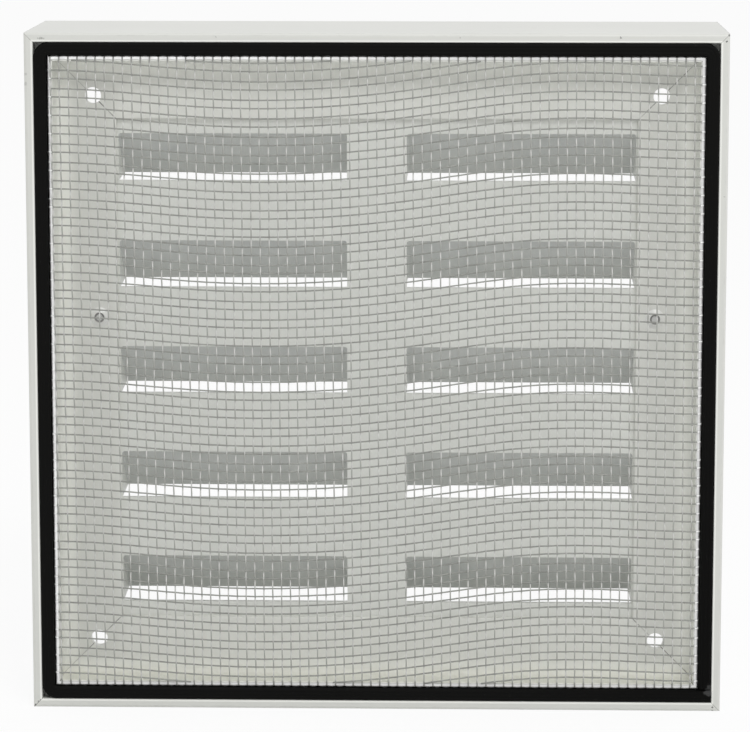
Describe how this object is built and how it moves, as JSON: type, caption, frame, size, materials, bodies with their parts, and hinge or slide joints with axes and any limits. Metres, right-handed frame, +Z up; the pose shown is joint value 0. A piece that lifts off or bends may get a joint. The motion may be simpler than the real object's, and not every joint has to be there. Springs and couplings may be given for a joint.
{
  "type": "wall vent grille",
  "caption": "Square-fronted louvred wall vent grille with a deep mitred frame, hooded slots, a woven insect screen and a rubber wall seal behind.",
  "frame": {"origin": "middle of the wall face, where the rubber seal presses on the wall", "axes": "+X to the right seen from the front, +Y towards the wall behind, +Z up"},
  "size_m": [0.23, 0.0634, 0.226],
  "materials": {
    "white_coat": "satin powder coat",
    "plate_coat": "satin powder coat",
    "bare_aluminium": "mill",
    "seal_rubber": "matt",
    "screen_wire": "drawn wire",
    "stem_steel": "broken end"
  },
  "bodies": {
    "root": {"frame_top": "white_coat", "frame_bottom": "white_coat", "frame_left": "white_coat", "frame_right": "white_coat", "louvre_plate": "plate_coat", "corner_key_top_left": "bare_aluminium", "corner_key_top_right": "bare_aluminium", "corner_key_bottom_left": "bare_aluminium", "corner_key_bottom_right": "bare_aluminium", "rubber_seal": "seal_rubber", "insect_screen": "screen_wire", "rivet_left": "bare_aluminium", "rivet_right": "bare_aluminium", "rivet_stem_left": "stem_steel", "rivet_stem_right": "stem_steel"}
  },
  "joints": []
}
